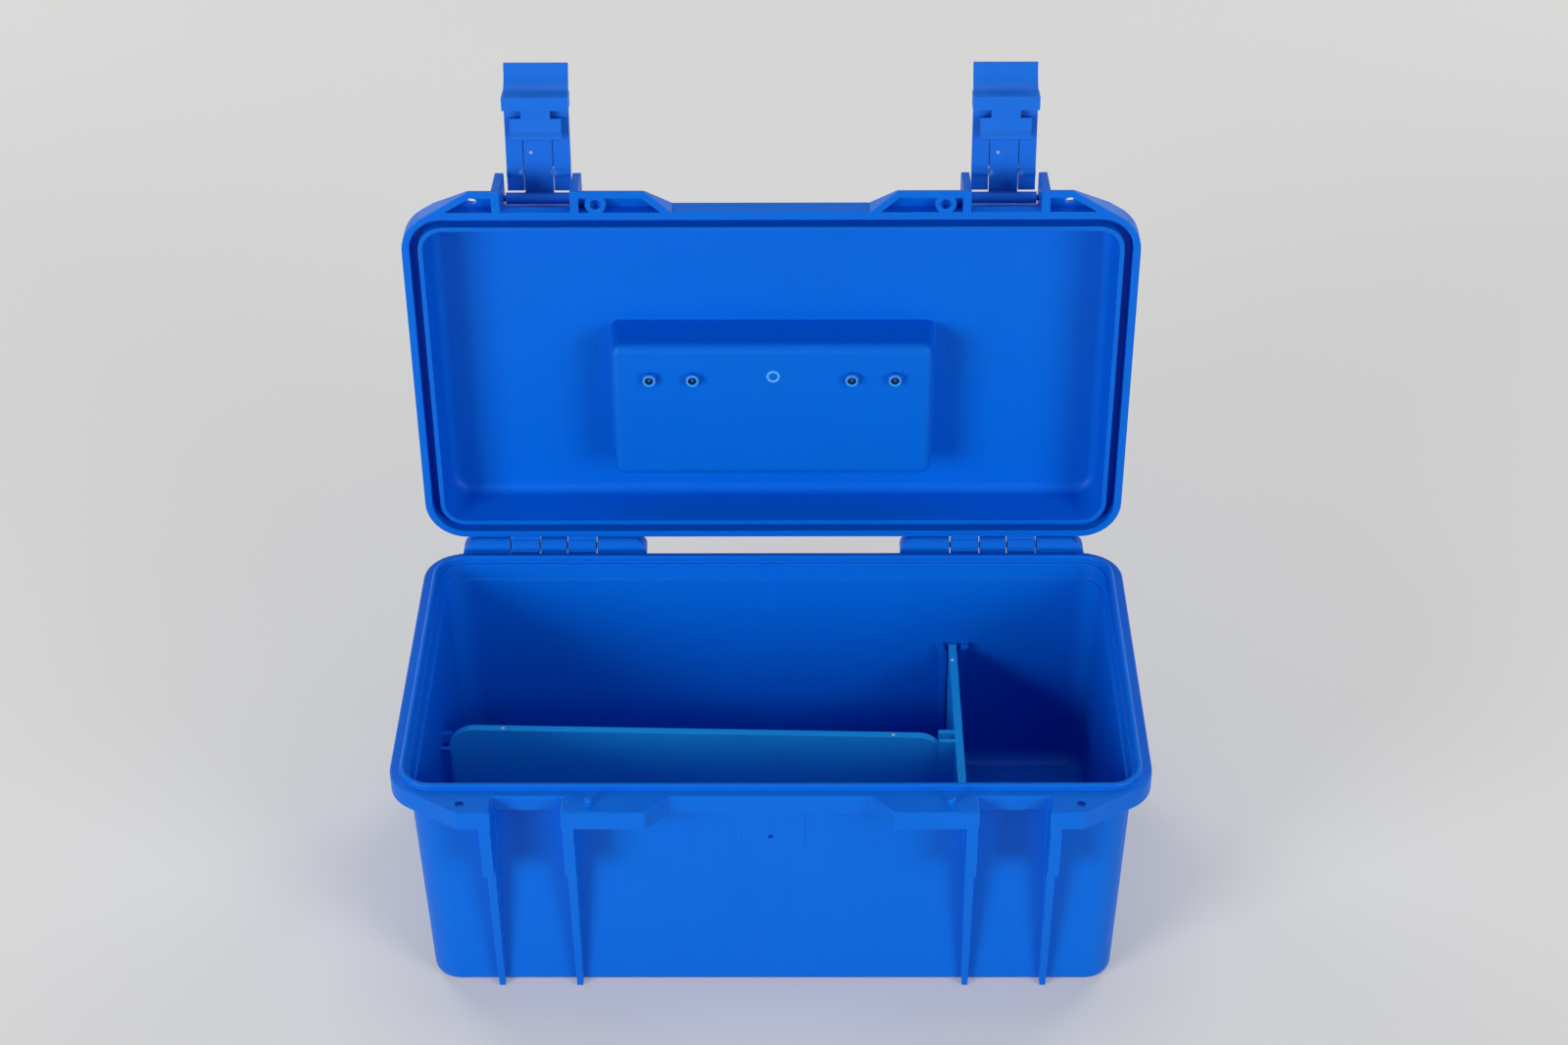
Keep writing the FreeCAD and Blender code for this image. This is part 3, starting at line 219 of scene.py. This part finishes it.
def moulded(name, colour, shade, grain, roughness, edge, scuffs=0.0, drag=0.0, spots=()):
    """Injection-moulded plastic: spark-eroded grain, faint flow shades, round edges, light scuffs.

    The mould's grain breaks the gloss into a soft sheen, and the cut edges of the mould leave
    a small round on every corner that catches the light; each corner is also painted a paler
    blue, a painted highlight. The drag is the upright streaks that a deep wall gets as it slides
    out of the mould. Each spot is a place, a radius and a colour.
    """
    material, tree = new_material(name)
    place = add(tree, "TexCoord").outputs["Object"]

    flow = add(tree, "TexNoise", {"Vector": place, "Scale": per_metre(FLOW_SIZE), "Detail": 3.0,
                                  "Roughness": 0.55})
    tint = add(tree, "Mix", {"Factor": flow.outputs[0], MIX_A: shade, MIX_B: colour},
               data_type="RGBA")
    grit = add(tree, "TexNoise", {"Vector": place, "Scale": per_metre(grain), "Detail": 2.0,
                                  "Roughness": 0.6})
    speckle = add(tree, "MapRange", {"Value": grit.outputs[0], **NOISE_SPAN,
                                     "To Min": 1 - SPECKLE, "To Max": 1 + SPECKLE})
    surface = add(tree, "VectorMath", {0: tint.outputs[MIX_RESULT], "Scale": speckle.outputs[0]},
                  operation="SCALE").outputs[0]
    if drag:
        pulled = add(tree, "Mapping", {"Vector": place,
                                       "Scale": [per_metre(size) for size in DRAG_SIZE]})
        streak = add(tree, "TexNoise", {"Vector": pulled.outputs[0], "Scale": 1.0, "Detail": 4.0,
                                        "Roughness": 0.6})
        shine = add(tree, "MapRange", {"Value": streak.outputs[0], **NOISE_SPAN,
                                       "To Min": 1 - drag, "To Max": 1 + drag})
        surface = add(tree, "VectorMath", {0: surface, "Scale": shine.outputs[0]},
                      operation="SCALE").outputs[0]
    for centre, radius, pale in spots:
        away = add(tree, "VectorMath", {0: place, 1: [c * MM for c in centre]},
                   operation="DISTANCE")
        fade = add(tree, "MapRange", {"Value": away.outputs["Value"],
                                      "From Min": SPOT_CORE * radius * MM,
                                      "From Max": radius * MM,
                                      "To Min": SPOT_STRENGTH, "To Max": 0.0})
        surface = add(tree, "Mix", {"Factor": fade.outputs[0], MIX_A: surface, MIX_B: pale},
                      data_type="RGBA").outputs[MIX_RESULT]

    wear = add(tree, "TexNoise", {"Vector": place, "Scale": per_metre(WEAR_SIZE), "Detail": 5.0,
                                  "Roughness": 0.7})
    sheen = add(tree, "MapRange", {"Value": wear.outputs[0], **WEAR_SPAN,
                                   "To Min": roughness - POLISH, "To Max": roughness + DULLNESS})
    rounding = add(tree, "Bevel", {"Radius": edge * MM}, samples=6)
    normal = add(tree, "Bump", {"Height": grit.outputs[0], "Normal": rounding.outputs[0],
                                "Strength": 0.12, "Distance": GRAIN_DEPTH * MM}).outputs[0]
    if scuffs:
        stretch = add(tree, "Mapping", {"Vector": place, "Rotation": SCUFF_TURN,
                                        "Scale": [per_metre(size) for size in SCUFF_SIZE]})
        lines = add(tree, "TexNoise", {"Vector": stretch.outputs[0], "Scale": 2.0, "Detail": 2.0})
        cut = add(tree, "MapRange", {"Value": lines.outputs[0], **SCUFF_SPAN})
        normal = add(tree, "Bump", {"Height": cut.outputs[0], "Normal": normal,
                                    "Strength": scuffs, "Distance": SCUFF_DEPTH * MM},
                     invert=True).outputs[0]

    # Painted highlight: the colour turns paler on the corners, where the rounded normal leaves the
    # flat one.
    flat = add(tree, "NewGeometry").outputs["True Normal"]
    level = add(tree, "VectorMath", {0: rounding.outputs[0], 1: flat}, operation="DOT_PRODUCT")
    corner = add(tree, "MapRange", {"Value": level.outputs["Value"], "From Min": EDGE_START,
                                    "From Max": EDGE_FULL, "To Max": EDGE_HIGHLIGHT})
    edged = add(tree, "Mix", {"Factor": corner.outputs[0], MIX_A: surface,
                              MIX_B: linear(EDGE_HIGHLIGHT_COLOUR)}, data_type="RGBA")
    shader = add(tree, "BsdfPrincipled", {"Base Color": edged.outputs[MIX_RESULT],
                                          "Roughness": sheen.outputs[0], "Normal": normal,
                                          "IOR": PLASTIC_IOR,
                                          "Specular IOR Level": PLASTIC_SHEEN})
    add(tree, "OutputMaterial", {"Surface": shader.outputs[0]})
    return material


def steel(name, colour):
    """Plated or dark steel: a metal a little cloudy, with the lines that it was drawn with."""
    material, tree = new_material(name)
    place = add(tree, "TexCoord").outputs["Object"]
    stretch = add(tree, "Mapping", {"Vector": place,
                                    "Scale": [per_metre(size) for size in DRAWN_SIZE]})
    drawn = add(tree, "TexNoise", {"Vector": stretch.outputs[0], "Scale": 1.0, "Detail": 3.0})
    cloud = add(tree, "TexNoise", {"Vector": place, "Scale": per_metre(CLOUD_SIZE),
                                   "Detail": 3.0})
    dull = [c * 0.8 for c in colour[:3]] + [1.0]
    tone = add(tree, "Mix", {"Factor": cloud.outputs[0], MIX_A: dull, MIX_B: colour},
               data_type="RGBA")
    rough = add(tree, "MapRange", {"Value": drawn.outputs[0], "To Min": 0.24, "To Max": 0.42})
    bump = add(tree, "Bump", {"Height": drawn.outputs[0], "Strength": 0.15,
                              "Distance": DRAWN_DEPTH * MM})
    shader = add(tree, "BsdfPrincipled", {"Base Color": tone.outputs[MIX_RESULT],
                                          "Roughness": rough.outputs[0],
                                          "Normal": bump.outputs[0], "Metallic": 1.0})
    add(tree, "OutputMaterial", {"Surface": shader.outputs[0]})
    return material


def coat(names, material):
    """Gives CAD nodes a material."""
    for name in names:
        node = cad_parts[name]
        node.data.materials.clear()
        node.data.materials.append(material)


def both_sides(*parts):
    """Names of the left and right node of each part."""
    return [part + side for part in parts for side in ("_left", "_right")]


def turned(profile, steps, centre=(0, 0, 0)):
    """Shape of a profile of (radius, height) points, spun about an upright line through centre."""
    shape = bmesh.new()
    verts = [shape.verts.new((radius, 0, height)) for radius, height in profile]
    edges = [shape.edges.new(pair) for pair in zip(verts, verts[1:])]
    bmesh.ops.spin(shape, geom=verts + edges, cent=(0, 0, 0), axis=(0, 0, 1), angle=math.tau,
                   steps=steps, use_merge=True)
    bmesh.ops.remove_doubles(shape, verts=shape.verts, dist=1e-4)
    bmesh.ops.recalc_face_normals(shape, faces=shape.faces)
    bmesh.ops.translate(shape, verts=shape.verts, vec=centre)
    return shape


def ring(centre, radius, bead):
    """Low round bead on a flat face that looks down in the closed case."""
    width, height = bead
    inner = radius - width
    return turned([(inner, SUNK), (radius - width / 2, -height), (radius, SUNK), (inner, SUNK)],
                  steps=40, centre=centre)


def join(shape, other):
    """Adds another shape's geometry to a shape and frees the other."""
    mesh = bpy.data.meshes.new("part")
    other.to_mesh(mesh)
    other.free()
    shape.from_mesh(mesh)
    bpy.data.meshes.remove(mesh)


def piece(name, shape, material, body):
    """Object of a shape that is modelled in millimetres; it rides on a body."""
    bmesh.ops.transform(shape, matrix=Matrix.Scale(MM, 4), verts=shape.verts)
    mesh = bpy.data.meshes.new(name)
    shape.to_mesh(mesh)
    shape.free()
    for polygon in mesh.polygons:
        polygon.use_smooth = True
    mesh.set_sharp_from_angle(angle=SHARP_ANGLE)
    mesh.materials.append(material)
    result = bpy.data.objects.new(name, mesh)
    bpy.context.scene.collection.objects.link(result)
    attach(result, body)
    return result


def lid_piece(name, shapes, material):
    """Piece of shapes placed as on the closed case; it is turned open and rides on the lid."""
    whole = bmesh.new()
    for shape in shapes:
        join(whole, shape)
    bmesh.ops.transform(whole, matrix=CLOSED_TO_OPEN, verts=whole.verts)
    return piece(name, whole, material, "lid")


def seat(node, start, toward):
    """Place in millimetres where a line from start meets a CAD node."""
    hit, place, _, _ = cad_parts[node].ray_cast(Vector(start) * MM, Vector(toward))
    if not hit:
        raise RuntimeError("The line from %s misses %s" % (start, node))
    return place / MM


class ToolCaseFinish(bpy.types.PropertyGroup):
    """Colours and surface of the plastics."""
    case_colour: bpy.props.FloatVectorProperty(
        name="Case", description="Blue of the shells, the handle and its brackets",
        subtype="COLOR", size=4, default=linear("#006CDE"))
    latch_colour: bpy.props.FloatVectorProperty(
        name="Latches", description="Blue of the latches' links and levers",
        subtype="COLOR", size=4, default=linear("#1C71DF"))
    divider_colour: bpy.props.FloatVectorProperty(
        name="Dividers", description="Cyan of the two loose dividers",
        subtype="COLOR", size=4, default=linear("#22ADF5"))
    grain: bpy.props.FloatProperty(
        name="Grain", description="Size of the mould's spark-eroded grain, in millimetres",
        default=0.5)
    edge_round: bpy.props.FloatProperty(
        name="Edge round", description="Round that the case's moulded edges show, in millimetres",
        default=0.45)


class ToolCaseMarks(bpy.types.PropertyGroup):
    """Small marks that the mould leaves."""
    ejector: bpy.props.FloatProperty(
        name="Ejector", description="Diameter of an ejector's mark, in millimetres", default=11.6)
    gate: bpy.props.FloatProperty(
        name="Gate", description="Diameter of the lid's gate, in millimetres", default=7.2)
    nub: bpy.props.FloatProperty(
        name="Nub", description="Diameter of the gates on the dividers' edges, in millimetres",
        default=1.9)


class ToolCaseScrews(bpy.types.PropertyGroup):
    """Screws of the handle's brackets."""
    head: bpy.props.FloatProperty(
        name="Head", description="Diameter of a screw's head, in millimetres", default=6.4)
    pitch: bpy.props.FloatProperty(
        name="Pitch", description="Rise of the thread in one turn, in millimetres", default=1.1)


class ToolCaseStage(bpy.types.PropertyGroup):
    """Floor and camera."""
    floor: bpy.props.FloatProperty(
        name="Floor", description="Side of the floor", default=12.0, unit="LENGTH")
    lens: bpy.props.FloatProperty(
        name="Lens", description="Focal length on a 36 mm sensor, in millimetres", default=64.75)


class TOOLCASE_OT_shells(bpy.types.Operator):
    """Finish the base, the lid, the handle and its brackets"""
    bl_idname = "toolcase.shells"
    bl_label = "Shells"

    def execute(self, context):
        look = context.scene.tool_case_finish
        finish = {"colour": look.case_colour, "shade": linear("#0066D6"), "grain": look.grain,
                  "roughness": 0.42, "edge": look.edge_round, "scuffs": 0.08}
        # Polypropylene moulded in a spark-eroded mould: a clear blue with a broad waxy sheen and
        # hardly any highlight, faint shades where it flowed, and scuffs that catch the light.
        blue = moulded("polypropylene_blue", **finish)
        coat(["lid_shell", "carry_handle", *both_sides("handle_bracket")], blue)
        # The same on the deep base, whose walls slid far out of the mould: faint upright streaks.
        coat(["base_shell"], moulded("deep_drawn_blue", **finish, drag=0.018))
        return {"FINISHED"}


class TOOLCASE_OT_latches(bpy.types.Operator):
    """Finish the latches' links and levers"""
    bl_idname = "toolcase.latches"
    bl_label = "Latches"

    def execute(self, context):
        look = context.scene.tool_case_finish
        spots = [((x, STRESS_FACE, z), STRESS_RADIUS, linear("#86B4EC")) for x, z in LATCH_STRESS]
        spots += [((x, GATE_FACE, z), GATE_SPOT_RADIUS, linear("#C4DCF6"))
                  for x, z in LATCH_GATES]
        # Acetal moulded in a smoother mould: a lighter, slicker blue, with pale spots where it is
        # stretched or was fed.
        latch = moulded("acetal_blue", look.latch_colour, linear("#186AD8"), look.grain,
                        roughness=0.38, edge=0.3, spots=spots)
        coat(both_sides("latch_link", "latch_lever"), latch)
        return {"FINISHED"}


class TOOLCASE_OT_dividers(bpy.types.Operator):
    """Finish the two loose dividers"""
    bl_idname = "toolcase.dividers"
    bl_label = "Dividers"

    def execute(self, context):
        look = context.scene.tool_case_finish
        # Polystyrene moulded as thin plates: a pale cyan, a little harder and glossier.
        pale = moulded("polystyrene_cyan", look.divider_colour, linear("#1CA4EE"), look.grain,
                       roughness=0.36, edge=0.3)
        coat(["long_divider", "cross_divider"], pale)
        return {"FINISHED"}


class TOOLCASE_OT_pins(bpy.types.Operator):
    """Finish the hinge pins and the latch pins"""
    bl_idname = "toolcase.pins"
    bl_label = "Pins"

    def execute(self, context):
        # Drawn steel wire in a dark grey: a dark metal with fine lines along it and small highlights.
        wire = steel("dark_steel_wire", linear("#4A4D52"))
        coat(both_sides("hinge_pin", "latch_pin"), wire)
        return {"FINISHED"}


class TOOLCASE_OT_screws(bpy.types.Operator):
    """Screw the handle's brackets to the lid"""
    bl_idname = "toolcase.screws"
    bl_label = "Screws"

    def execute(self, context):
        size = context.scene.tool_case_screws
        half = size.head / 2
        top = FOOT_TOP + SCREW_HEAD_HEIGHT
        tip = BOSS_END - TIP_OUT
        recess = [(0, top - 1.1), (0.9, top - 1.0), (1.6, top - 0.12)]
        head = [(half * 0.72, top - 0.3), (half * 0.94, top - 1.0), (half, FOOT_TOP + 0.6),
                (half, FOOT_TOP)]
        shank = [(SHANK_RADIUS, FOOT_TOP)]
        for turn in range(int((FOOT_TOP - tip - THREAD_FREE) / size.pitch)):
            crest = FOOT_TOP - THREAD_START - turn * size.pitch
            shank += [(SHANK_RADIUS, crest + THREAD_FLANK), (THREAD_RADIUS, crest),
                      (SHANK_RADIUS, crest - THREAD_FLANK)]
        point = [(SHANK_RADIUS, tip + TIP_TAPER), (0.35, tip), (0, tip)]
        screws = []
        for x in SCREW_X:
            screw = turned(recess + head + shank + point, steps=24)
            # Four wings stand in the round recess and leave a cross between them.
            for quarter in range(4):
                wing = bmesh.new()
                bmesh.ops.create_cube(wing, size=1.0, matrix=Matrix.Diagonal((*RECESS_WING, 1.0)))
                bmesh.ops.bevel(wing, geom=wing.edges, offset=0.1, affect="EDGES", segments=2,
                                profile=0.5, material=-1)
                bmesh.ops.translate(wing, verts=wing.verts,
                                    vec=(WING_RADIUS, 0, top - WING_DEPTH))
                bmesh.ops.rotate(wing, verts=wing.verts,
                                 matrix=Matrix.Rotation(quarter * math.pi / 2, 3, "Z"))
                join(screw, wing)
            bmesh.ops.translate(screw, verts=screw.verts, vec=(x, 0, 0))
            screws.append(screw)
        # Zinc-plated steel: a pale metal, a little cloudy, that picks up the light of the room.
        zinc = steel("zinc_plated_steel", linear("#B4B2AC"))
        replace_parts(lid_piece("bracket_screws", screws, zinc), "handle_screws")
        return {"FINISHED"}


class TOOLCASE_OT_bosses(bpy.types.Operator):
    """Raise the mouths of the screw bosses with a painted highlight, and paint shade into their pilot
    holes
    """
    bl_idname = "toolcase.bosses"
    bl_label = "Bosses"

    def execute(self, context):
        look = context.scene.tool_case_finish
        end = BOSS_END - MOUTH_HEIGHT
        mouth = [(MOUTH_RADIUS, BOSS_END + SUNK), (MOUTH_RADIUS, end + 0.2),
                 (MOUTH_RADIUS - 0.25, end), (BORE_RADIUS + 0.2, end), (BORE_RADIUS, end + 0.15),
                 (BORE_RADIUS, BOSS_END + SUNK)]
        floor = [(BORE_RADIUS, BOSS_END - 0.03), (PILOT_RADIUS, BOSS_END - 0.03)]
        # Polypropylene at the mouths, smoother, and painted paler as a painted highlight where the
        # rounded rim catches the light.
        mouth_highlight = moulded("boss_mouth_painted_highlight", linear("#44A4FA"), linear("#3898F2"), look.grain,
                            roughness=0.34, edge=0.15)
        # Painted shade: a blue close to black on the floor of each pilot hole, standing in for the
        # shadow of a hole too narrow for the light.
        shadowed = moulded("pilot_hole_painted_shade", linear("#02255A"), linear("#021C48"), look.grain,
                           roughness=0.5, edge=0.1)
        for name, profile, material in (("boss_mouths", mouth, mouth_highlight),
                                        ("boss_pilot_hole_shade", floor, shadowed)):
            lid_piece(name, [turned(profile, steps=32, centre=(x, 0, 0)) for x in SCREW_X],
                      material)
        return {"FINISHED"}


class TOOLCASE_OT_marks(bpy.types.Operator):
    """Press the ejectors' and the gate's marks into the lid"""
    bl_idname = "toolcase.marks"
    bl_label = "Lid marks"

    def execute(self, context):
        size = context.scene.tool_case_marks
        look = context.scene.tool_case_finish
        marks = []
        for side in (-1, 1):
            marks += [ring((side * x, y, LID_FLOOR), size.ejector / 2, EJECTOR_BEAD)
                      for x, y in EJECTORS]
            marks += [ring((side * x, y, LIP_FACE), LIP_EJECTOR_RADIUS, LIP_EJECTOR_BEAD)
                      for x, y in LIP_EJECTORS]
        gate_place = (*LID_GATE, RECESS_FLOOR)
        marks.append(ring(gate_place, GATE_CIRCLE_RADIUS, GATE_CIRCLE_BEAD))
        lid_piece("lid_mould_marks", marks, bpy.data.materials["polypropylene_blue"])
        # Polypropylene torn where the mould was fed: a pale, shinier scar, painted paler still as a
        # painted highlight for the glints on its bead.
        scar_and_highlight = moulded("gate_scar_and_highlight", linear("#7CC4FC"), linear("#3C9CF4"), look.grain,
                       roughness=0.25, edge=0.1)
        lid_piece("lid_gate", [ring(gate_place, size.gate / 2, LID_GATE_BEAD)], scar_and_highlight)
        return {"FINISHED"}


class TOOLCASE_OT_nubs(bpy.types.Operator):
    """Leave the gates' nubs on the dividers' upper edges"""
    bl_idname = "toolcase.nubs"
    bl_label = "Divider nubs"

    def execute(self, context):
        radius = context.scene.tool_case_marks.nub / 2
        look = context.scene.tool_case_finish
        nubs = bmesh.new()
        for node, x, y in DIVIDER_GATES:
            place = seat(node, (x, y, ABOVE_DIVIDERS), (0, 0, -1))
            join(nubs, turned([(0, NUB_HEIGHT), (radius * 0.6, NUB_HEIGHT - 0.05), (radius, 0.05),
                               (radius, -NUB_SUNK)], steps=20, centre=place))
        # Polystyrene whitened where the dividers were snapped off their feed: almost white.
        white = moulded("whitened_plastic", linear("#EAF6FF"), linear("#D2ECFC"), look.grain,
                        roughness=0.3, edge=0.1)
        piece("divider_gates", nubs, white, "base")
        return {"FINISHED"}


class TOOLCASE_OT_stage(bpy.types.Operator):
    """Set the floor, the lights and the camera"""
    bl_idname = "toolcase.stage"
    bl_label = "Stage"

    @staticmethod
    def seen(tree, level=1.0):
        """The level where the camera looks, also by a mirror or glass, and 0 where light falls."""
        ray = add(tree, "LightPath")
        direct = add(tree, "Math", {0: ray.outputs["Is Camera Ray"],
                                    1: ray.outputs["Is Glossy Ray"]}, operation="MAXIMUM")
        through = add(tree, "Math", {0: direct.outputs[0],
                                     1: ray.outputs["Is Transmission Ray"]}, operation="MAXIMUM")
        scaled = add(tree, "Math", {0: through.outputs[0], 1: level}, operation="MULTIPLY")
        return scaled.outputs[0]

    def paper(self):
        """Matt paper: no highlight, a soft shadow, and the backdrop's colour far off."""
        material, tree = new_material("pale_paper")
        sheet = add(tree, "BsdfPrincipled", {"Base Color": linear(PAPER), "Roughness": 0.9,
                                             "Specular IOR Level": 0.1})
        glow = add(tree, "Emission", {"Strength": self.seen(tree, PAPER_GLOW)})
        lit = add(tree, "AddShader", {0: sheet.outputs[0], 1: glow.outputs[0]})
        far = add(tree, "VectorMath", {0: add(tree, "TexCoord").outputs["Object"]},
                  operation="LENGTH")
        fade = add(tree, "MapRange", {"Value": far.outputs["Value"], "From Min": FADE_START,
                                      "From Max": FADE_END}, interpolation_type="SMOOTHSTEP")
        hidden = add(tree, "Math", {0: fade.outputs[0], 1: self.seen(tree)}, operation="MULTIPLY")
        sweep = add(tree, "Emission", {"Color": linear(BACKDROP), "Strength": 1.0})
        mixed = add(tree, "MixShader", {0: hidden.outputs[0], 1: lit.outputs[0],
                                        2: sweep.outputs[0]})
        add(tree, "OutputMaterial", {"Surface": mixed.outputs[0]})
        return material

    def execute(self, context):
        scene = context.scene
        size = scene.tool_case_stage
        shape = bmesh.new()
        bmesh.ops.create_grid(shape, x_segments=1, y_segments=1, size=size.floor / 2)
        mesh = bpy.data.meshes.new("floor")
        shape.to_mesh(mesh)
        shape.free()
        mesh.materials.append(self.paper())
        floor = bpy.data.objects.new("floor", mesh)
        scene.collection.objects.link(floor)

        world = bpy.data.worlds.new("studio")
        scene.world = world
        world.use_nodes = True
        tree = world.node_tree
        tree.nodes.clear()
        fill = add(tree, "Background", {"Color": (1, 1, 1, 1), "Strength": WORLD_FILL})
        pale = add(tree, "Background", {"Color": linear(BACKDROP), "Strength": 1.0})
        mixed = add(tree, "MixShader", {0: self.seen(tree), 1: fill.outputs[0],
                                        2: pale.outputs[0]})
        add(tree, "OutputWorld", {"Surface": mixed.outputs[0]})

        for name, place, width, power in SOFTBOXES:
            lamp = bpy.data.lights.new(name, "AREA")
            lamp.shape = "SQUARE"
            lamp.size = width
            lamp.energy = power
            holder = bpy.data.objects.new(name, lamp)
            holder.location = place
            holder.rotation_euler = (AIM - Vector(place)).to_track_quat("-Z", "Y").to_euler()
            scene.collection.objects.link(holder)

        lens = bpy.data.cameras.new("camera")
        lens.lens = size.lens
        lens.sensor_width = SENSOR_WIDTH
        lens.clip_start, lens.clip_end = CLIP
        camera = bpy.data.objects.new("camera", lens)
        back = CAMERA_ACROSS.cross(CAMERA_UP)
        turn = Matrix((CAMERA_ACROSS, CAMERA_UP, back)).transposed().to_4x4()
        camera.matrix_world = Matrix.Translation(CAMERA_PLACE) @ turn
        scene.collection.objects.link(camera)
        scene.camera = camera
        scene.view_settings.view_transform = "Standard"
        return {"FINISHED"}


class TOOLCASE_PT_panel(bpy.types.Panel):
    """Lists the sizes and the steps of the tool case"""
    bl_label = "Tool Case"
    bl_idname = "TOOLCASE_PT_panel"
    bl_space_type = "VIEW_3D"
    bl_region_type = "UI"
    bl_category = "Tool Case"

    def draw(self, context):
        for name in GROUPS:
            group = getattr(context.scene, name)
            for setting in group.__annotations__:
                self.layout.prop(group, setting)
        for operator in OPERATORS:
            self.layout.operator(operator.bl_idname)


GROUPS = {"tool_case_finish": ToolCaseFinish, "tool_case_marks": ToolCaseMarks,
          "tool_case_screws": ToolCaseScrews, "tool_case_stage": ToolCaseStage}
OPERATORS = (TOOLCASE_OT_shells, TOOLCASE_OT_latches, TOOLCASE_OT_dividers, TOOLCASE_OT_pins,
             TOOLCASE_OT_screws, TOOLCASE_OT_bosses, TOOLCASE_OT_marks, TOOLCASE_OT_nubs,
             TOOLCASE_OT_stage)


def register():
    for item in (*GROUPS.values(), *OPERATORS, TOOLCASE_PT_panel):
        bpy.utils.register_class(item)
    for name, group in GROUPS.items():
        setattr(bpy.types.Scene, name, bpy.props.PointerProperty(type=group))


def unregister():
    for name in GROUPS:
        delattr(bpy.types.Scene, name)
    for item in reversed((*GROUPS.values(), *OPERATORS, TOOLCASE_PT_panel)):
        bpy.utils.unregister_class(item)


def main():
    """Makes every piece."""
    register()
    for operator in OPERATORS:
        group, name = operator.bl_idname.split(".")
        getattr(getattr(bpy.ops, group), name)()


if __name__ == "__main__":
    main()
